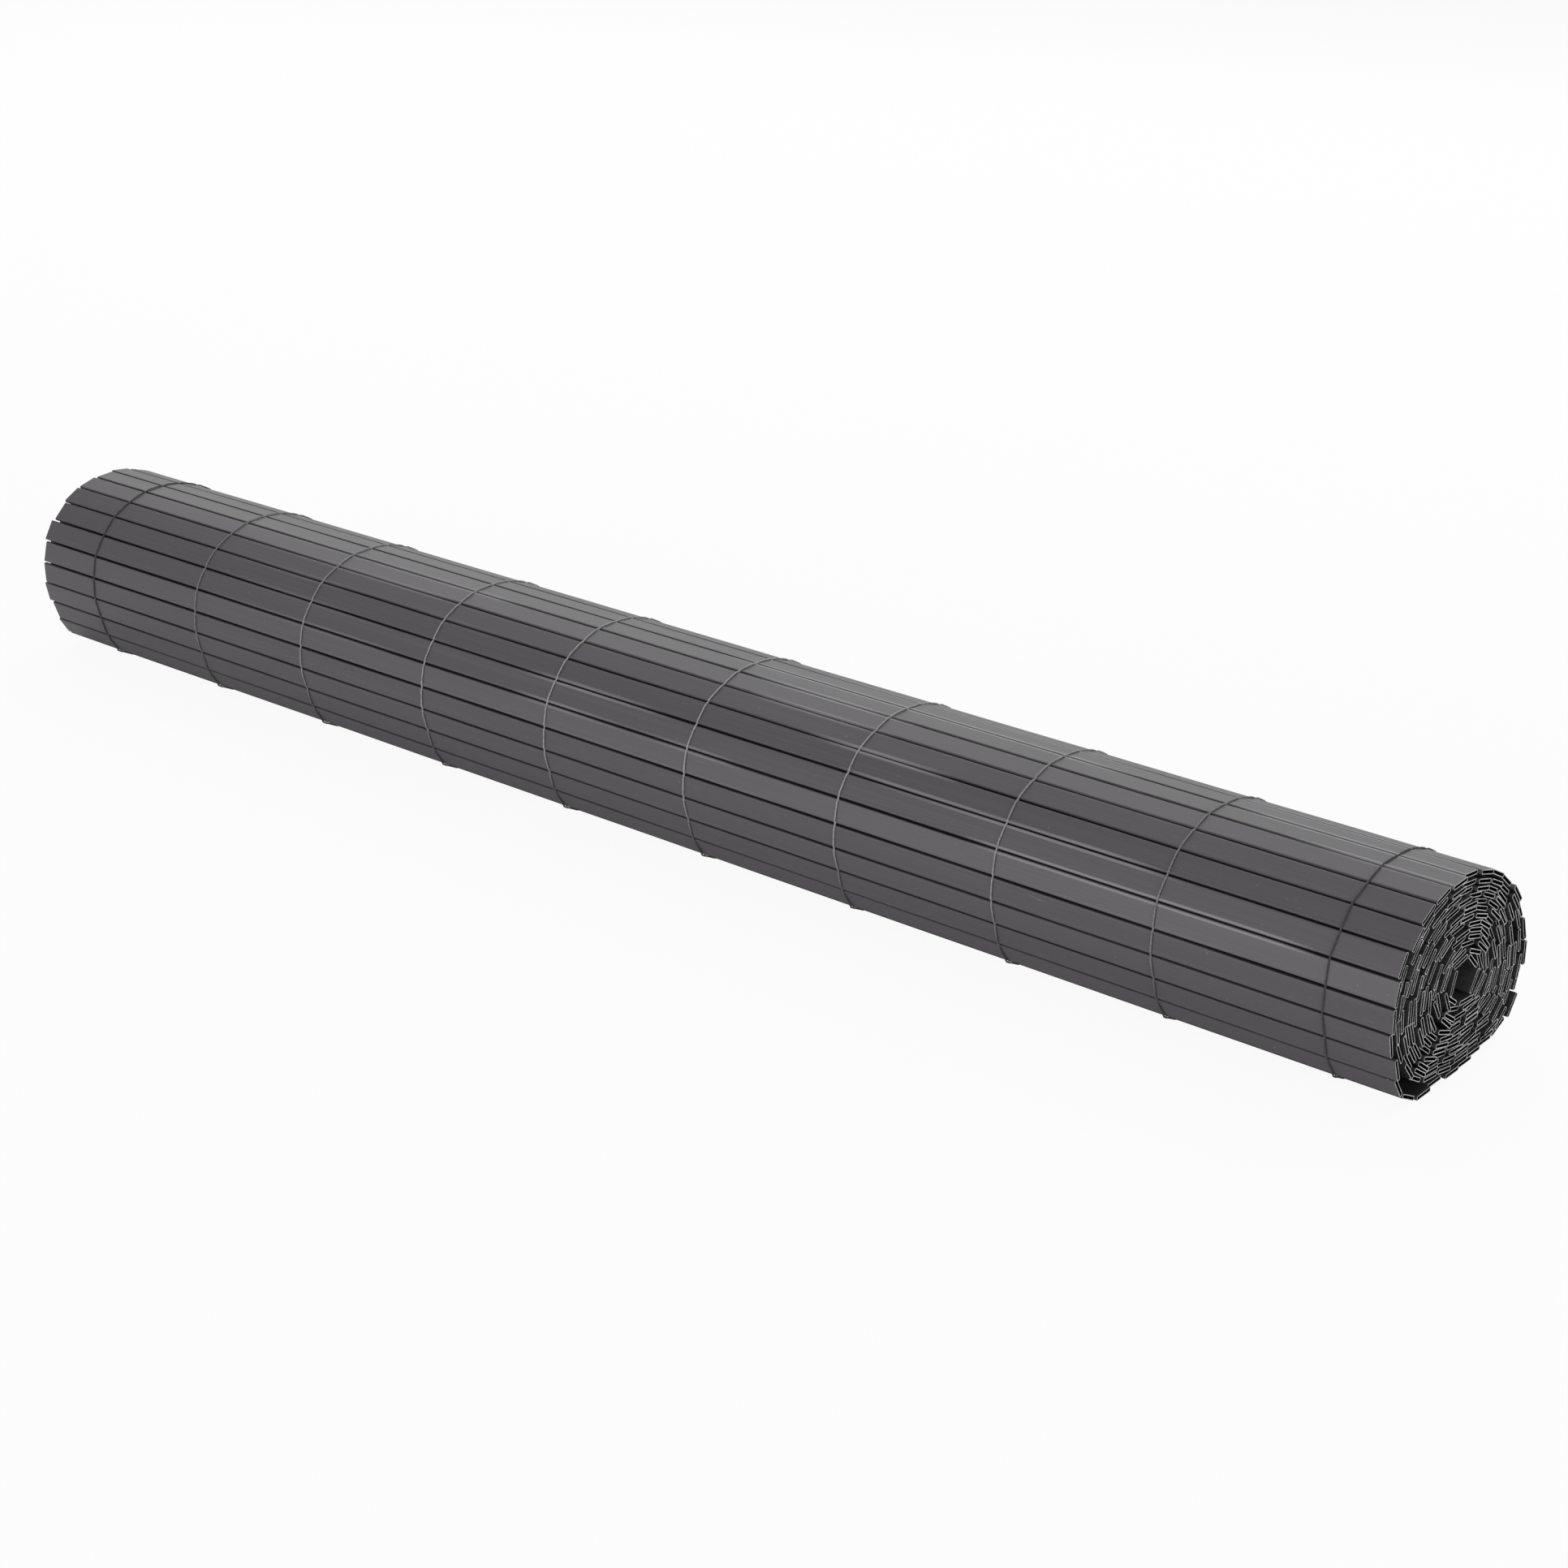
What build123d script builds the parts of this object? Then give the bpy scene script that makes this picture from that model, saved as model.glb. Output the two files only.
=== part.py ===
from build123d import *
import cmath
import math
import os

# Roll of a pvc privacy screen. Millimetres, +Z up. X runs along the slats and +X is the end seen
# in the photo, -Y is the front. Sections are worked out as complex numbers, y + z * 1j.

# the mat
mat_height = 1000.0
slat_count = 214
slat_width = 13.1
slat_thickness = 2.4
slat_wall = 0.4
slat_gap = 0.9
end_taper = 0.8
uneven_ends = 1.2

# the ten rows of lacing: the first from the -X end, the last from the +X end, and each one's slip
first_row = 48.0
last_row = 34.0
row_slips = (3.0, 0.0, -4.5, -1.5, -4.0, 0.0, 4.5, 6.0, 1.5, -3.0)
cord_width = 2.0
cord_height = 1.0
cord_slack = 0.15

# the outline of the rolled mat: a leaning ellipse, cut off by the floor
half_width = 66.5
half_height = 58.2
lean = -20.0
floor_drop = 48.3
free_end = 19.6

# where the outline swells out of the ellipse: bearing, spread to each side, extra reach
corner_swell = 5.0
back_swell = 2.4
front_swell = 1.0
swells = ((-140.0, 38.0, corner_swell), (-12.0, 45.0, back_swell), (140.0, 50.0, front_swell))

# the windings
core_right = 7.0
core_drop = 1.5
core_share = 0.14
full_turns = 14.3
turn_room = 0.2
joint_room = 0.25
floor_lift = 3.3

# where the turns stand apart: turn it starts after, bearing, spread to each side, extra space
corner_space = 6.5
top_space = 1.2
back_space = 0.8
crescent_space = 3.6
loose_places = (
    (0.62, -140.0, 42.0, corner_space),
    (0.75, 80.0, 60.0, top_space),
    (1.0, -25.0, 60.0, back_space),
    (1.7, 0.0, 75.0, crescent_space),
)
loosening = 0.35
growth_step = 1.01

# the slats inside the outermost turn are kept in this many groups, in the order of the mat
inner_groups = 12

slat_pitch = slat_width + slat_gap
row_step = (mat_height - first_row - last_row) / (len(row_slips) - 1)
core = complex(core_right, -core_drop)
coarse_turn = 0.5
fine_turn = 0.01
hairline = 0.000001


def pointing(degrees):
    return cmath.rect(1, math.radians(degrees))


def bearing_of(point):
    return math.degrees(cmath.phase(point))


def bump(bearing, middle, spread):
    """1 at the middle bearing, falling smoothly to 0 at the spread"""
    off = abs((bearing - middle + 180) % 360 - 180)
    return 0.5 + 0.5 * math.cos(math.pi * min(1.0, off / spread))


def slat_section(hinge, heading):
    """six corners of a slat that starts half a gap from its hinge"""
    start = slat_gap / 2
    end = start + slat_width
    half = slat_thickness / 2
    corners = (
        start,
        start + end_taper - 1j * half,
        end - end_taper - 1j * half,
        end,
        end - end_taper + 1j * half,
        start + end_taper + 1j * half,
    )
    return [hinge + pointing(heading) * corner for corner in corners]


def slat_hollow(hinge, heading):
    """four corners of the hollow inside a slat"""
    start = slat_gap / 2 + max(end_taper, slat_wall * 1.5)
    end = slat_pitch - start
    half = slat_thickness / 2 - slat_wall
    corners = (start - 1j * half, end - 1j * half, end + 1j * half, start + 1j * half)
    return [hinge + pointing(heading) * corner for corner in corners]


def pitch_box(hinge, heading):
    """a slat with its half gaps, as one full rectangle from hinge to hinge"""
    half = slat_thickness / 2
    corners = (-1j * half, slat_pitch - 1j * half, slat_pitch + 1j * half, 1j * half)
    return [hinge + pointing(heading) * corner for corner in corners]


def joint_ring(hinge):
    """the space that a joint needs, so the next slat can lie flat too"""
    return [hinge + slat_thickness / 2 * pointing(45 * k) for k in range(8)]


def space_between(first, second):
    """widest clear strip between two convex outlines, below 0 if they overlap"""
    widest = -math.inf
    for shape, other in ((first, second), (second, first)):
        for here, there in zip(shape, shape[1:] + shape[:1]):
            outward = ((there - here) * -1j / abs(there - here)).conjugate()
            side = (here * outward).real
            nearest = min((corner * outward).real for corner in other)
            widest = max(widest, nearest - side)
    return widest


def outer_reach(bearing, growth):
    """from the core to the middle of the outermost slats"""
    ray = pointing(bearing)
    across = half_width - slat_thickness / 2
    upright = half_height - slat_thickness / 2
    start = core * pointing(-lean)
    step = ray * pointing(-lean)
    a = (step.real / across) ** 2 + (step.imag / upright) ** 2
    b = start.real * step.real / across**2 + start.imag * step.imag / upright**2
    c = (start.real / across) ** 2 + (start.imag / upright) ** 2 - 1
    reach = (math.sqrt(b * b - a * c) - b) / a
    reach += sum(extra * bump(bearing, middle, spread) for middle, spread, extra in swells)
    if ray.imag < 0:
        reach = min(reach, (floor_drop - slat_thickness / 2 - core_drop) / -ray.imag)
    return reach * growth


def shrink(turns):
    return 1 - (1 - core_share) * turns / full_turns


def wanted_reach(bearing, turns, first_bearing, growth):
    """how far from the core the mat wants to lie after so many turns from its free end"""
    first_pass = min(turns, ((first_bearing - bearing) / 360) % 1.0)
    reach = outer_reach(bearing, growth) * shrink(turns) / shrink(first_pass)
    for start, middle, spread, space in loose_places:
        share = max(0.0, min(1.0, (turns - start) / loosening))
        share = share * share * (3 - 2 * share)
        reach -= space * share * bump(bearing, middle, spread) * shrink(turns) / shrink(start)
    down = -pointing(bearing).imag
    if turns > 0.5 and down > 0:
        inner_floor = floor_drop * growth - slat_thickness / 2 - core_drop * growth - floor_lift
        reach = min(reach, inner_floor / down)
    return reach


def lay_slat(laid, hinge, heading, turns, first_bearing, growth):
    """the next slat: it turns in from outside until it clears the turn around it"""
    near = [slat["box"] for slat in laid[:-1] if abs(slat["hinge"] - hinge) < 3 * slat_pitch]
    last = [slat["section"] for slat in laid[-1:]]
    bearing = bearing_of(hinge - core)

    def try_heading(trial):
        far = hinge + slat_pitch * pointing(trial)
        far_bearing = bearing_of(far - core)
        swing = (bearing - far_bearing + 180) % 360 - 180
        far_turns = turns + swing / 360
        limit = wanted_reach(far_bearing, far_turns, first_bearing, growth) + hairline
        if swing < -5 or abs(far - core) > limit:
            return None
        section = slat_section(hinge, trial)
        box = pitch_box(hinge, trial)
        ring = joint_ring(far)
        if any(space_between(section, other) < joint_room for other in last):
            return None
        for other in near:
            if space_between(box, other) < turn_room or space_between(ring, other) < turn_room:
                return None
        return {"hinge": hinge, "heading": trial, "far": far, "start_turns": turns,
                "turns": far_turns, "section": section, "box": box}

    trial = heading + 45.0
    found = None
    while found is None and trial > heading - 130:
        trial -= coarse_turn
        found = try_heading(trial)
    step = coarse_turn / 2
    while found is not None and step > fine_turn:
        better = try_heading(trial + step)
        if better is not None:
            found = better
            trial += step
        step /= 2
    return found


def wind_roll(growth):
    """all slats from the free end inwards, as many as fit"""
    hinge = complex(free_end, slat_thickness / 2 - floor_drop) * growth
    first_bearing = bearing_of(hinge - core)
    heading = 180.0
    turns = 0.0
    laid = []
    while len(laid) < slat_count:
        slat = lay_slat(laid, hinge, heading, turns, first_bearing, growth)
        if slat is None:
            break
        laid.append(slat)
        hinge = slat["far"]
        heading = slat["heading"]
        turns = slat["turns"]
    return laid


def wind_whole_mat():
    """the outline grows by the room that the mat lacks, until all of it fits"""
    growth = 1.0
    laid = wind_roll(growth)
    while len(laid) < slat_count:
        growth *= max(growth_step, math.sqrt(slat_count / len(laid)))
        laid = wind_roll(growth)
    return laid


def lacing_outline(laid):
    """a band that follows the outer faces of the outermost slats, straight over those in one line"""
    joints = [laid[0]["hinge"]] + [slat["far"] for slat in laid]
    headings = [slat["heading"] for slat in laid]
    inner = slat_thickness / 2 + cord_slack
    rims = []
    for depth in (inner, inner + cord_height):
        rim = []
        for k, joint in enumerate(joints):
            before = headings[max(0, k - 1)]
            after = headings[min(len(headings) - 1, k)]
            if 0 < k < len(joints) - 1 and abs(before - after) < fine_turn:
                continue
            reach = depth / math.cos(math.radians((before - after) / 2))
            rim.append(joint + 1j * pointing((before + after) / 2) * reach)
        rims.append(rim)
    return rims[0] + rims[1][::-1]


def prism(outline, hollow, start, length, shift):
    """outline extruded along X, with its hollow cut through"""
    corners = [(0, (point + shift).real, (point + shift).imag) for point in outline]
    face = make_face(Polyline(*corners, close=True))
    if hollow:
        corners = [(0, (point + shift).real, (point + shift).imag) for point in hollow]
        face -= make_face(Polyline(*corners, close=True))
    return Pos(start, 0, 0) * extrude(face, amount=length, dir=(1, 0, 0))


def slat_solid(slat, number, shift):
    outline = slat_section(slat["hinge"], slat["heading"])
    hollow = slat_hollow(slat["hinge"], slat["heading"])
    slip = uneven_ends * math.sin(math.radians(137.5 * number))
    return prism(outline, hollow, slip - mat_height / 2, mat_height, shift)


def save(name, solids):
    shape = solids[0] if len(solids) == 1 else Compound(children=solids)
    shape.label = name
    export_step(shape, f"parts/{name}.step")


laid = wind_whole_mat()
outer = [slat for slat in laid if slat["start_turns"] < 1.0]
band = lacing_outline([slat for slat in outer if slat["turns"] < 1.0])
left = min(point.real for point in band)
right = max(point.real for point in band)
bottom = min(point.imag for point in band)
shift = -complex((left + right) / 2, bottom)

os.makedirs("parts", exist_ok=True)
for number in range(len(outer)):
    save(f"outer_slat_{number + 1:02d}", [slat_solid(laid[number], number, shift)])

inner_count = len(laid) - len(outer)
for group in range(inner_groups):
    first = len(outer) + inner_count * group // inner_groups
    following = len(outer) + inner_count * (group + 1) // inner_groups
    members = [slat_solid(laid[k], k, shift) for k in range(first, following)]
    save(f"inner_slats_{group + 1:02d}", members)

for number, slip in enumerate(row_slips):
    middle = first_row + number * row_step + slip - mat_height / 2
    save(f"lacing_row_{number + 1:02d}", [prism(band, None, middle - cord_width / 2, cord_width, shift)])
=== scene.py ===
import bpy
import bmesh
import math
import random
from mathutils import Matrix, Vector


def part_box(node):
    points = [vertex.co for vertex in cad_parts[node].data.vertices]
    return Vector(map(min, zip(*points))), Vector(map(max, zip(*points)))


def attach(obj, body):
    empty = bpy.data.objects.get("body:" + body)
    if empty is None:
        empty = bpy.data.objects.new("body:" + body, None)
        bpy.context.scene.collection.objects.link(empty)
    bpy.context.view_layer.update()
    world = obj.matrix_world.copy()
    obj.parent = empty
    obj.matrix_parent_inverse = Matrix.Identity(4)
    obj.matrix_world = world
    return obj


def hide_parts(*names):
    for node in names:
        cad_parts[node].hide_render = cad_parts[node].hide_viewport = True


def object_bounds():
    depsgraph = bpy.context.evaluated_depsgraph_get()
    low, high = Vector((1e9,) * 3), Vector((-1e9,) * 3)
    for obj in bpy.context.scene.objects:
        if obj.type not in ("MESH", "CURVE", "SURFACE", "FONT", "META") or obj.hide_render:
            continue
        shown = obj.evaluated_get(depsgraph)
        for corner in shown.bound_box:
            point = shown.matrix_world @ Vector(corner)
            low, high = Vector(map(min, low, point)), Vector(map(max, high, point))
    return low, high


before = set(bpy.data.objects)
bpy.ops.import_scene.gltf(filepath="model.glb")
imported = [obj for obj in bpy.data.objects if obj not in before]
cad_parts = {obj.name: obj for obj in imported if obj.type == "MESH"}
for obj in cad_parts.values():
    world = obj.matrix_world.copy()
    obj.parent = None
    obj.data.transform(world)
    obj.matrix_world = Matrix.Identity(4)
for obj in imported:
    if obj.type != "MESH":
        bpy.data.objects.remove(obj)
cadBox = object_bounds()
seeded = random.Random(41)
hairline = 1e-6                 # points nearer than this are in one place

# where the photograph was taken from, in metres and degrees
camera = {
    "place": (1.1224, -1.2555, 0.7332),
    "pan": -39.8506,
    "tilt": -23.0157,
    "focalLength": 72.39,
    "sensor": 36.0,
    "clip": (0.05, 100.0),
}

slat = {
    "width": 0.0131,
    "thickness": 0.0024,
    "wall": 0.0004,
    "cornerRadius": 0.00070,
    "roundSteps": 3,
    "edgeBand": 0.0005,         # narrow strip beside each rounded edge that keeps the face flat
    "lineWidth": 0.0006,        # of the line along each long edge where a highlight is painted
    "outerSteps": 40,           # lengthwise steps of a slat that shows
    "innerSteps": 6,
    "sideWave": 0.00016,
    "outWave": 0.00012,
    "waveLengths": (0.61, 0.27, 0.13),
    "innerWaves": 0.4,          # share of the waves that the inner slats have
}

lacing = {
    "plies": 3,
    "cordRadius": 0.00027,      # of one ply
    "plyOffset": 0.00028,
    "twistLength": 0.0042,
    "clearance": 0.00005,
    "dip": 0.0009,              # where the cord bends in between two slats, above their middle
    "overShare": 0.40,          # share of the slat's width at which the cord bends down
    "sideStep": 0.00035,        # it leans to and fro from slat to slat
    "slackJoint": 6,            # the joint before this slat, where the cord stands off the front corner
    "slack": 0.0012,
    "toneFall": 3,              # how sharply the rows get darker towards the two ends of the roll, painted shade on the cord
    "shadedHeight": 0.014,        # the cord is painted in shade up to here, near the floor
    "litHeight": 0.049,       # and has its full lit tone from here
}

# linear colours
colours = {
    "outerDark": (0.080, 0.074, 0.081, 1.0),
    "outerLight": (0.096, 0.089, 0.098, 1.0),
    # a darker copy of the slat colours: painted shade for the inner turns and the slats' undersides and
    # side edges
    "innerDark": (0.017, 0.016, 0.018, 1.0),
    "innerLight": (0.030, 0.029, 0.031, 1.0),
    "cloud": (0.092, 0.087, 0.086, 1.0),
    "streak": (0.150, 0.144, 0.152, 1.0),
    "scuff": (0.30, 0.30, 0.30, 1.0),
    # painted highlight along the upper slats' long edges
    "paintedHighlight": (0.30, 0.29, 0.30, 1.0),
    "speck": (0.45, 0.45, 0.44, 1.0),
    "cutDark": (0.36, 0.36, 0.365, 1.0),
    "cutLight": (0.76, 0.76, 0.76, 1.0),
    # painted shade inside the slat hollows
    "hollowShadeDark": (0.004, 0.004, 0.004, 1.0),
    "hollowShadeLight": (0.010, 0.010, 0.010, 1.0),
    # the cord's shaded and lit looks, blended by its tone: painted shade and light
    "shadedCordDark": (0.022, 0.022, 0.023, 1.0),
    "shadedCordLight": (0.060, 0.062, 0.064, 1.0),
    "litCordDark": (0.20, 0.205, 0.205, 1.0),
    "litCordLight": (0.48, 0.485, 0.48, 1.0),
    "floor": (0.86, 0.86, 0.86, 1.0),
    "white": (1.0, 1.0, 1.0, 1.0),
}

stage = {
    "floorSize": 40.0,
    "whiteShare": 0.93,         # how much of the floor's look is plain white, the rest takes the shadow
    "worldLight": 0.38,
}

lamps = {
    "overhead": {"place": (-0.6, 1.7, 1.5), "target": (0.0, 0.0, 0.0), "size": (4.4, 2.6), "power": 45.0},
    "front": {"place": (-0.3, -2.8, 0.6), "target": (0.0, 0.0, 0.05), "size": (3.2, 1.0), "power": 34.0},
    "end": {"place": (2.6, -0.9, 0.8), "target": (0.5, 0.0, 0.05), "size": (1.0, 1.0), "power": 16.0},
}


class Wire:
    # a node's output, so that shader maths can be written as plain expressions
    def __init__(self, finish, socket):
        self.finish = finish
        self.socket = socket

    def math(self, operation, first, second):
        return self.finish.node("ShaderNodeMath", {"operation": operation}, {0: first, 1: second})

    def __add__(self, other):
        return self.math("ADD", self, other)

    def __sub__(self, other):
        return self.math("SUBTRACT", self, other)

    def __mul__(self, other):
        return self.math("MULTIPLY", self, other)

    __radd__ = __add__


class Finish:
    # the nodes of a material or of the world
    def __init__(self, owner):
        self.owner = owner
        owner.use_nodes = True
        self.tree = owner.node_tree
        self.tree.nodes.clear()

    def node(self, kind, settings=None, sockets=None, output=0):
        made = self.tree.nodes.new(kind)
        for name, value in (settings or {}).items():
            setattr(made, name, value)
        for name, value in (sockets or {}).items():
            if isinstance(value, Wire):
                self.tree.links.new(value.socket, made.inputs[name])
            else:
                made.inputs[name].default_value = value
        return Wire(self, made.outputs[output]) if made.outputs else None

    def noise(self, scale, detail, roughness=0.55):
        # scale is how many features there are in a metre along X, Y and Z
        place = self.node("ShaderNodeTexCoord", output="Object")
        stretched = self.node("ShaderNodeMapping", sockets={"Vector": place, "Scale": scale})
        return self.node("ShaderNodeTexNoise", sockets={
            "Vector": stretched, "Scale": 1.0, "Detail": detail, "Roughness": roughness})

    def along(self, axis):
        place = self.node("ShaderNodeTexCoord", output="Object")
        return self.node("ShaderNodeSeparateXYZ", sockets={0: place}, output=axis)

    def ramp(self, value, low, high):
        # 0 below low, 1 above high
        return self.node("ShaderNodeMapRange", sockets={"Value": value, "From Min": low, "From Max": high})

    def blend(self, share, first, second):
        return self.node("ShaderNodeMix", {"data_type": "RGBA"}, {0: share, 6: first, 7: second}, output=2)

    def surface(self, sockets, bump=None, strength=0.3, depth=0.0001):
        if bump is not None:
            sockets["Normal"] = self.node("ShaderNodeBump", sockets={
                "Height": bump, "Strength": strength, "Distance": depth})
        shader = self.node("ShaderNodeBsdfPrincipled", sockets=sockets)
        self.node("ShaderNodeOutputMaterial", sockets={"Surface": shader})
        return self.owner


def material(name):
    return Finish(bpy.data.materials.new(name))


def slatFinish(name, dark, light):
    pvc = material(name)
    tone = pvc.node("ShaderNodeAttribute", {"attribute_name": "tone"}, output="Fac")
    streaks = pvc.noise((2.5, 900.0, 900.0), 4.0)
    cloudy = pvc.noise((9.0, 60.0, 60.0), 3.0)
    scuffs = pvc.ramp(pvc.noise((38.0, 700.0, 700.0), 5.0, 0.62), 0.68, 0.80)
    rubbed = pvc.ramp(pvc.noise((7.0, 45.0, 45.0), 2.0), 0.52, 0.66)
    # painted highlight: a lighter, smoother line along the long edges of the upper slats, within a span
    # along X that also gets more scuffs
    edgeLine = pvc.node("ShaderNodeAttribute", {"attribute_name": "edge"}, output="Fac")
    high = pvc.ramp(pvc.along("Z"), 0.060, 0.078)
    scuffAndHighlightSpan = pvc.ramp(pvc.along("X"), -0.35, -0.05)
    highlightLine = pvc.ramp(pvc.noise((5.0, 26.0, 26.0), 1.0), 0.50, 0.58) * edgeLine * high * scuffAndHighlightSpan
    specks = pvc.ramp(pvc.noise((1500.0, 1500.0, 1500.0), 0.0), 0.80, 0.84)
    scattered = pvc.ramp(pvc.noise((120.0, 120.0, 120.0), 1.0), 0.60, 0.70)
    plain = pvc.blend(tone, dark, light)
    warm = pvc.blend(pvc.ramp(cloudy, 0.35, 0.70) * 0.35, plain, colours["cloud"])
    streaked = pvc.blend(pvc.ramp(streaks, 0.45, 0.75) * 0.22, warm, colours["streak"])
    scuffed = pvc.blend(scuffs * rubbed * (scuffAndHighlightSpan * 0.40 + 0.30), streaked, colours["scuff"])
    highlighted = pvc.blend(highlightLine * 0.60, scuffed, colours["paintedHighlight"])
    colour = pvc.blend(specks * scattered * 0.8, highlighted, colours["speck"])
    return pvc.surface({
        "Base Color": colour,
        "Roughness": 0.44 + streaks * 0.10 - cloudy * 0.08 + scuffs * 0.12 - highlightLine * 0.14,
        "IOR": 1.5,
    }, bump=streaks + cloudy * 0.4, strength=0.22, depth=0.0002)


def cutFinish():
    cut = material("sawnPvcEdge")
    grain = cut.noise((900.0, 900.0, 900.0), 2.0)
    patches = cut.noise((80.0, 80.0, 80.0), 1.0)
    uneven = cut.ramp(grain * 0.5 + patches * 0.5, 0.38, 0.62)
    colour = cut.blend(uneven, colours["cutDark"], colours["cutLight"])
    return cut.surface({"Base Color": colour, "Roughness": 0.55 + grain * 0.15}, bump=grain)


def insideFinish():
    # the walls inside a slat, rough, coloured near black as painted shade in the hollows
    inside = material("slatHollowShade")
    grain = inside.noise((20.0, 900.0, 900.0), 2.0)
    colour = inside.blend(inside.ramp(grain, 0.3, 0.7), colours["hollowShadeDark"], colours["hollowShadeLight"])
    return inside.surface({
        "Base Color": colour, "Roughness": 0.75 + grain * 0.1, "Specular IOR Level": 0.05}, bump=grain)


def cordFinish():
    cord = material("twistedCord")
    tone = cord.node("ShaderNodeAttribute", {"attribute_name": "tone"}, output="Fac")
    fibres = cord.noise((2500.0, 900.0, 900.0), 2.0)
    strands = cord.ramp(fibres, 0.3, 0.7)
    # painted shade and light: the cord blends from a shaded to a lit look by its tone
    shadedLook = cord.blend(strands, colours["shadedCordDark"], colours["shadedCordLight"])
    litLook = cord.blend(strands, colours["litCordDark"], colours["litCordLight"])
    return cord.surface({
        "Base Color": cord.blend(tone, shadedLook, litLook),
        "Roughness": 0.55 + fibres * 0.2,
        "Sheen Weight": 0.2,
    }, bump=fibres, strength=0.4, depth=0.00008)


def slatPattern(steps, length):
    # one slat along X from 0, its width on Y and its outer face towards +Z; its faces have the
    #  materials 0 outside, 1 at the cut ends, 2 inside, 3 underneath and along the side edges, where a
    #  darker finish is painted shade in the gaps
    bm = bmesh.new()
    bmesh.ops.create_grid(bm, x_segments=1, y_segments=1, size=0.5)
    bmesh.ops.scale(bm, vec=(slat["thickness"], slat["width"], 1.0), verts=bm.verts)
    bmesh.ops.rotate(bm, cent=(0, 0, 0), matrix=Matrix.Rotation(math.radians(90), 3, "Y"), verts=bm.verts)
    bmesh.ops.bevel(bm, geom=bm.verts[:], offset=slat["cornerRadius"], offset_type="OFFSET",
                    affect="VERTICES", segments=slat["roundSteps"], profile=0.5, material=-1)
    bmesh.ops.inset_region(bm, faces=bm.faces[:], thickness=slat["wall"],
                           use_boundary=True, use_even_offset=True)
    middle = max(bm.faces, key=lambda face: len(face.verts))
    bmesh.ops.delete(bm, geom=[middle], context="FACES_ONLY")
    ends = bm.faces[:]
    grown = bmesh.ops.extrude_face_region(bm, geom=ends, use_keep_orig=True)["geom"]
    far = [part for part in grown if isinstance(part, bmesh.types.BMVert)]
    bmesh.ops.translate(bm, vec=(length, 0, 0), verts=far)
    flat = slat["width"] / 2 - slat["cornerRadius"] - slat["edgeBand"]
    for line in (-flat, slat["lineWidth"] - flat, flat - slat["lineWidth"], flat):
        bmesh.ops.bisect_plane(bm, geom=bm.verts[:] + bm.edges[:] + bm.faces[:], dist=hairline,
                               plane_co=(0, line, 0), plane_no=(0, 1, 0))
    long = [edge for edge in bm.edges if abs(edge.verts[0].co.x - edge.verts[1].co.x) > length / 2]
    bmesh.ops.subdivide_edges(bm, edges=long, cuts=steps - 1, use_grid_fill=True)
    bmesh.ops.recalc_face_normals(bm, faces=bm.faces)
    for face in bm.faces:
        atEnd = abs(face.normal.x) > 0.9
        middle = face.calc_center_median()
        inside = face.normal.dot(Vector((0, middle.y, middle.z))) < 0
        # the undersides and side edges take the darker finish, painted shade that darkens the gaps between
        # slats
        paintedShadeFace = face.normal.z < -0.5 or abs(face.normal.y) > 0.6
        face.material_index = 1 if atEnd else 2 if inside else 3 if paintedShadeFace else 0
        face.smooth = not atEnd
    for edge in bm.edges:
        edge.smooth = len({face.material_index % 3 for face in edge.link_faces}) == 1
    bm.verts.layers.float.new("tone")
    edge = bm.verts.layers.float.new("edge")
    for vert in bm.verts:
        if abs(vert.co.y) > flat - hairline:
            vert[edge] = 1.0
    mesh = bpy.data.meshes.new("slatPattern")
    bm.to_mesh(mesh)
    bm.free()
    return mesh


def slatPlaces(node):
    # where each slat of a CAD node lies: its matrix from the pattern, left end first
    bm = bmesh.new()
    bm.from_mesh(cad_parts[node].data)
    bmesh.ops.remove_doubles(bm, verts=bm.verts, dist=hairline)
    middle = (cadBox[0] + cadBox[1]) / 2
    seen = set()
    places = []
    for start in bm.verts:
        if start in seen:
            continue
        seen.add(start)
        solid = [start]
        for vert in solid:
            for edge in vert.link_edges:
                other = edge.other_vert(vert)
                if other not in seen:
                    seen.add(other)
                    solid.append(other)
        left = min(vert.co.x for vert in solid)
        rim = [vert.co.copy() for vert in solid if vert.co.x < left + hairline]
        pairs = [(a, b) for a in rim for b in rim]
        first, last = max(pairs, key=lambda pair: (pair[0] - pair[1]).length)
        centre = (first + last) / 2
        across = (last - first).normalized()
        outward = Vector((1, 0, 0)).cross(across)
        if outward.dot(centre - middle) < 0:
            across = -across
            outward = -outward
        turn = Matrix((Vector((1, 0, 0)), across, outward)).transposed().to_4x4()
        places.append(Matrix.Translation(centre) @ turn)
    bm.free()
    return places


def wave(size):
    parts = [(length, seeded.uniform(0, 2 * math.pi), seeded.uniform(0.5, 1.0))
             for length in slat["waveLengths"]]
    return lambda x: size * sum(
        share * math.sin(2 * math.pi * x / length + phase) for length, phase, share in parts) / len(parts)


def linked(name, data):
    made = bpy.data.objects.new(name, data)
    bpy.context.scene.collection.objects.link(made)
    return made


def meshPiece(name, bm, finishes):
    mesh = bpy.data.meshes.new(name)
    bm.to_mesh(mesh)
    bm.free()
    for finish in finishes:
        mesh.materials.append(finish)
    return linked(name, mesh)


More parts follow.
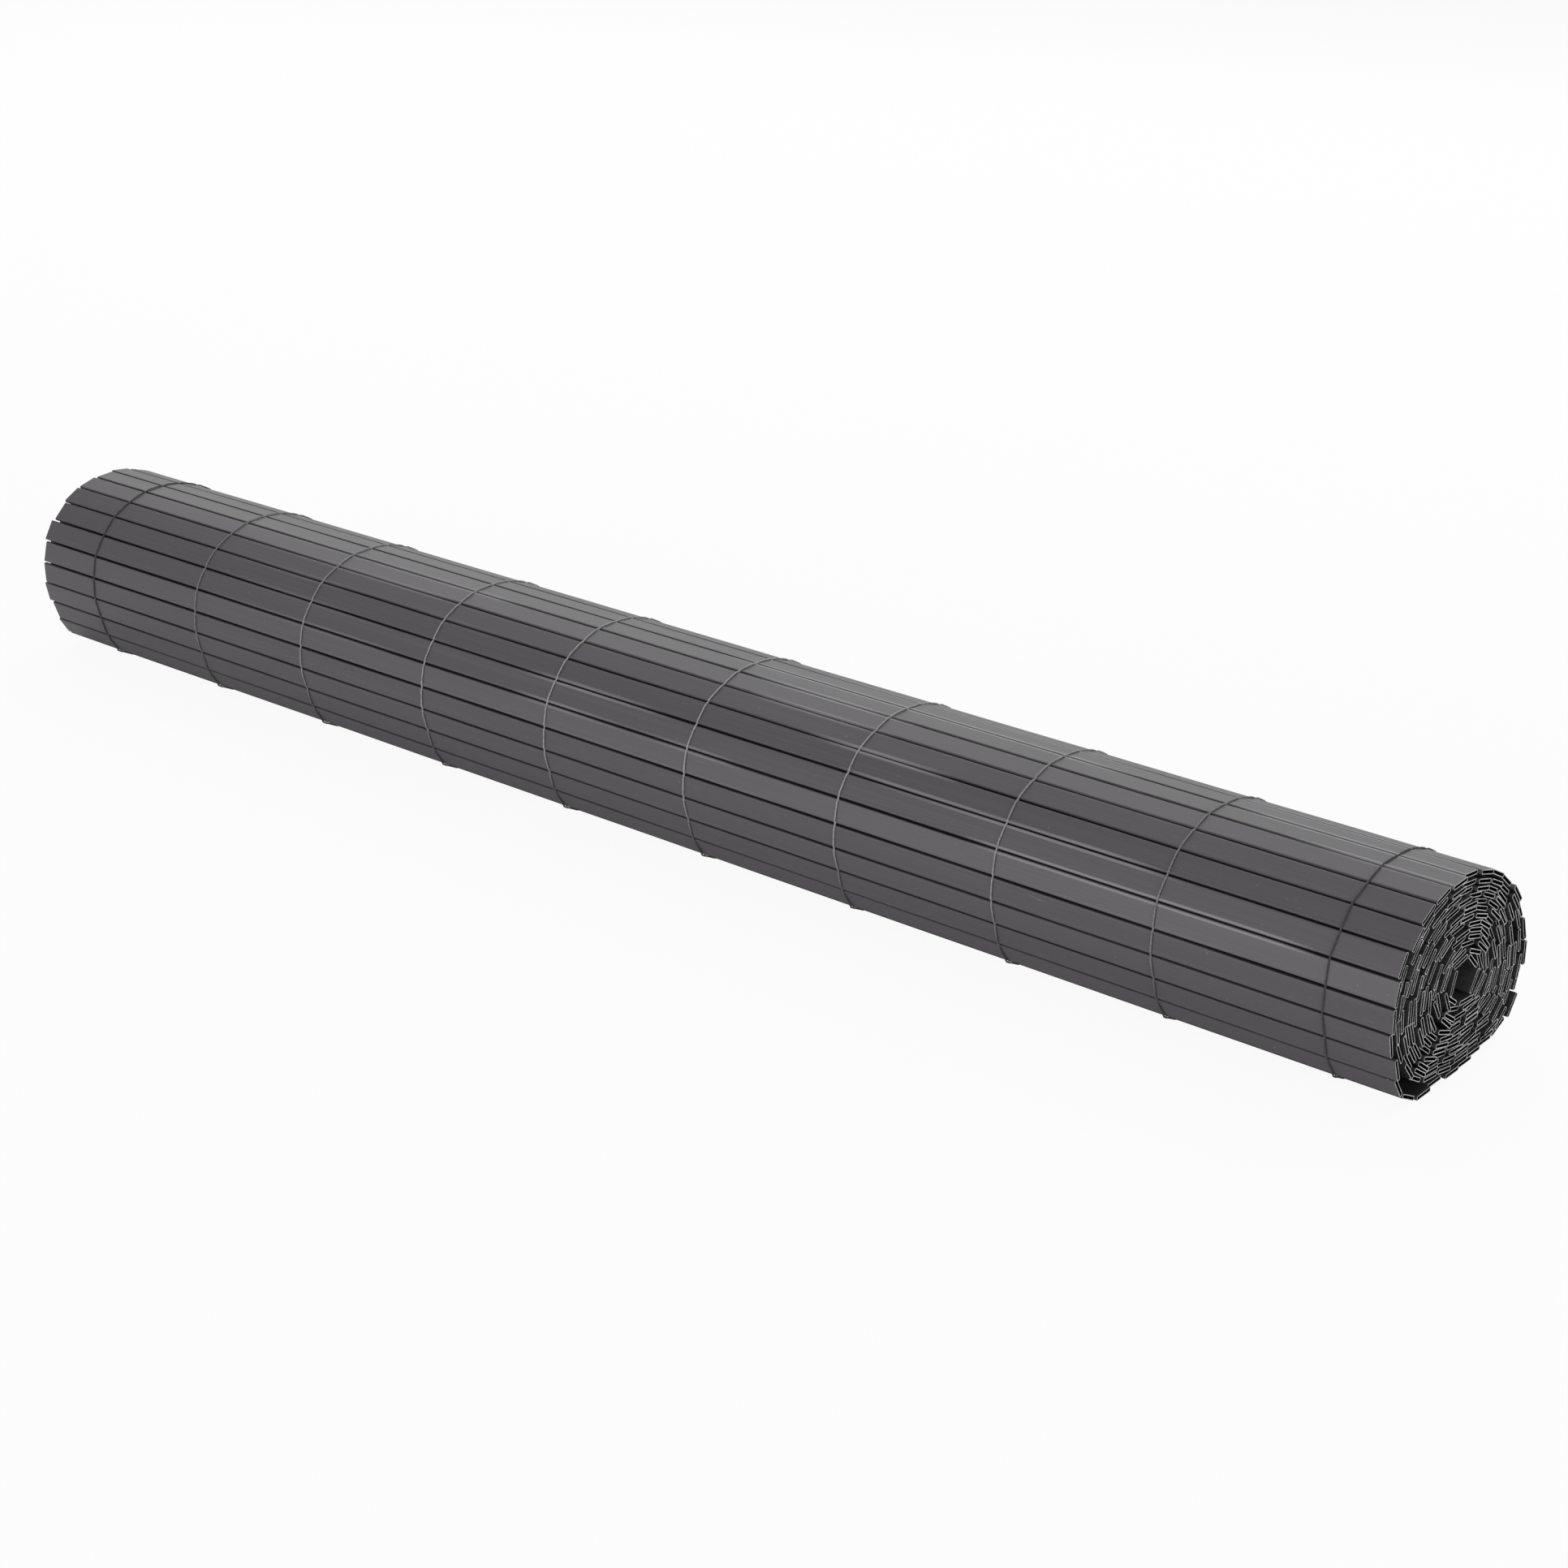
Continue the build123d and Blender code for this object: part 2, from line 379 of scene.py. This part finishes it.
def slatPiece(name, node, places, pattern, skin, waves):
    bm = bmesh.new()
    bm.verts.layers.float.new("tone")
    bm.verts.layers.float.new("edge")
    for place in places:
        start = len(bm.verts)
        bm.from_mesh(pattern)
        bm.verts.ensure_lookup_table()
        own = bm.verts[start:]
        tone = bm.verts.layers.float["tone"]
        shade = seeded.random()
        sideways = wave(slat["sideWave"] * waves)
        outwards = wave(slat["outWave"] * waves)
        for vert in own:
            vert[tone] = shade
            vert.co.y += sideways(vert.co.x)
            vert.co.z += outwards(vert.co.x)
        bmesh.ops.transform(bm, matrix=place, verts=own)
    piece = meshPiece(name, bm, [skin, edgeFinish, hollowShadeFinish, paintedShadeFinish])
    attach(piece, "root")
    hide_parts(node)


def cordRoute(row, places, slack):
    # control points of one ply over the outer faces, dipping between the slats
    low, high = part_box(row)
    middle = (low.x + high.x) / 2
    halfWidth = slat["width"] / 2
    over = slat["thickness"] / 2 + lacing["clearance"] + lacing["cordRadius"] + lacing["plyOffset"]
    points = []
    for number, place in enumerate(places, 1):
        lean = lacing["sideStep"] * (1 if number % 2 else -1)
        bend = over + slack if number == lacing["slackJoint"] else lacing["dip"]
        steps = [(-1, bend), (-lacing["overShare"] * 2, over), (0, over), (lacing["overShare"] * 2, over)]
        if number == len(places):
            steps.append((1, lacing["dip"]))
        for share, height in steps:
            point = place @ Vector((0, share * halfWidth, height))
            point.x = middle + lean * (1 if share > 0 else -1) * abs(share)
            points.append(point)
    return points


def routeLine(points):
    # the points of a smooth line through the route, as Blender works it out
    curve = bpy.data.curves.new("route", "CURVE")
    curve.dimensions = "3D"
    curve.resolution_u = 4
    spline = curve.splines.new("NURBS")
    spline.points.add(len(points) - 1)
    for knot, point in zip(spline.points, points):
        knot.co = (*point, 1.0)
    spline.order_u = 3
    spline.use_endpoint_u = True
    holder = bpy.data.objects.new("route", curve)
    mesh = bpy.data.meshes.new_from_object(holder)
    line = [vert.co.copy() for vert in mesh.vertices]
    bpy.data.objects.remove(holder)
    bpy.data.meshes.remove(mesh)
    bpy.data.curves.remove(curve)
    return line


def cordPiece(name, row, places, shade):
    plies = lacing["plies"]
    curve = bpy.data.curves.new(name, "CURVE")
    curve.dimensions = "3D"
    curve.bevel_depth = lacing["cordRadius"]
    curve.bevel_resolution = 1
    curve.use_fill_caps = True
    for ply in range(plies):
        # the plies part where the cord is slack, one against the slats and one hanging free
        line = routeLine(cordRoute(row, places, lacing["slack"] * ply / (plies - 1)))
        spline = curve.splines.new("POLY")
        spline.points.add(len(line) - 1)
        travelled = 0.0
        for k, point in enumerate(line):
            ahead = line[min(k + 1, len(line) - 1)] - line[max(k - 1, 0)]
            travelled += (point - line[max(k - 1, 0)]).length
            side = Vector((1, 0, 0))
            up = side.cross(ahead.normalized())
            angle = 2 * math.pi * (travelled / lacing["twistLength"] + ply / plies)
            offset = (side * math.cos(angle) + up * math.sin(angle)) * lacing["plyOffset"]
            spline.points[k].co = (*(point + offset), 1.0)
    holder = bpy.data.objects.new(name, curve)
    mesh = bpy.data.meshes.new_from_object(holder)
    mesh.name = name
    bpy.data.objects.remove(holder)
    bpy.data.curves.remove(curve)
    mesh.materials.clear()
    mesh.materials.append(lacingFinish)
    mesh.shade_smooth()
    # painted shade: the cord gets darker low down, towards the floor
    tone = mesh.attributes.new("tone", "FLOAT", "POINT")
    low = lacing["shadedHeight"]
    rise = lacing["litHeight"] - low
    tone.data.foreach_set("value", [
        shade * min(1.0, max(0.0, (vert.co.z - low) / rise)) for vert in mesh.vertices])
    piece = linked(name, mesh)
    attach(piece, "root")
    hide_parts(row)


def makeCamera():
    data = bpy.data.cameras.new("camera")
    data.lens = camera["focalLength"]
    data.sensor_width = camera["sensor"]
    data.clip_start, data.clip_end = camera["clip"]
    holder = linked("camera", data)
    pan = math.radians(camera["pan"])
    tilt = math.radians(camera["tilt"])
    ahead = Vector((math.cos(tilt) * math.sin(pan), math.cos(tilt) * math.cos(pan), math.sin(tilt)))
    holder.location = camera["place"]
    holder.rotation_euler = ahead.to_track_quat("-Z", "Y").to_euler()
    bpy.context.scene.camera = holder


def lamp(name, place, target, size, power):
    data = bpy.data.lights.new(name, "AREA")
    data.shape = "RECTANGLE"
    data.size = size[0]
    data.size_y = size[1]
    data.energy = power
    holder = linked(name, data)
    holder.location = place
    holder.rotation_euler = (Vector(target) - Vector(place)).to_track_quat("-Z", "Y").to_euler()


def makeStage():
    floor = material("paleFloor")
    seen = floor.node("ShaderNodeLightPath", output="Is Camera Ray")
    lit = floor.node("ShaderNodeBsdfDiffuse", sockets={"Color": colours["floor"]})
    white = floor.node("ShaderNodeEmission", sockets={"Color": colours["white"], "Strength": 1.0})
    mixed = floor.node("ShaderNodeMixShader", sockets={0: seen * stage["whiteShare"], 1: lit, 2: white})
    floor.node("ShaderNodeOutputMaterial", sockets={"Surface": mixed})
    bm = bmesh.new()
    bmesh.ops.create_grid(bm, x_segments=1, y_segments=1, size=stage["floorSize"] / 2)
    ground = meshPiece("floor", bm, [floor.owner])

    studio = Finish(bpy.data.worlds.new("studio"))
    bpy.context.scene.world = studio.owner
    direct = studio.node("ShaderNodeLightPath", output="Is Camera Ray")
    through = studio.node("ShaderNodeLightPath", output="Is Transmission Ray")
    strength = studio.node("ShaderNodeMapRange", sockets={
        "Value": direct.math("MAXIMUM", direct, through), "To Min": stage["worldLight"], "To Max": 1.0})
    light = studio.node("ShaderNodeBackground", sockets={"Color": colours["white"], "Strength": strength})
    studio.node("ShaderNodeOutputWorld", sockets={"Surface": light})
    for name, settings in lamps.items():
        lamp(name, **settings)


makeCamera()
makeStage()
bpy.context.scene.view_settings.view_transform = "Standard"
print("camera and stage are ready")

outerFinish = slatFinish("greyPvc", colours["outerDark"], colours["outerLight"])
# the same PVC darker, painted shade for the inner turns and for the undersides and side edges of every
# slat
paintedShadeFinish = slatFinish("paintedShadePvc", colours["innerDark"], colours["innerLight"])
edgeFinish = cutFinish()
hollowShadeFinish = insideFinish()
lacingFinish = cordFinish()
nodes = sorted(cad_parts)
outerNodes = [node for node in nodes if node.startswith("outer_slat")]
innerNodes = [node for node in nodes if node.startswith("inner")]
rowNodes = [node for node in nodes if node.startswith("lacing_row")]
lowEnd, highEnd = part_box(outerNodes[0])
slatLength = highEnd.x - lowEnd.x

outerPattern = slatPattern(slat["outerSteps"], slatLength)
outerPlaces = [slatPlaces(node)[0] for node in outerNodes]
for node, place in zip(outerNodes, outerPlaces):
    slatPiece("outerSlat" + node[-2:], node, [place], outerPattern, outerFinish, 1.0)
print("the outermost turn is laid:", len(outerNodes), "slats")

innerPattern = slatPattern(slat["innerSteps"], slatLength)
innerCount = 0
for node in innerNodes:
    places = slatPlaces(node)
    innerCount += len(places)
    slatPiece("innerSlats" + node[-2:], node, places, innerPattern, paintedShadeFinish, slat["innerWaves"])
print("the turns inside it are laid:", innerCount, "slats")

# painted light and shade: the rows are darker towards the ends of the roll and lighter, silvery, in the
# middle
middleRow = (len(rowNodes) - 1) / 2
for number, row in enumerate(rowNodes):
    fromMiddle = abs(number - middleRow) / middleRow
    shade = max(0.0, 1.0 - fromMiddle ** lacing["toneFall"])
    cordPiece("lacing" + row[-2:], row, outerPlaces[:-1], shade)
print("the lacing is threaded:", len(rowNodes), "rows")

for pattern in (outerPattern, innerPattern):
    bpy.data.meshes.remove(pattern)
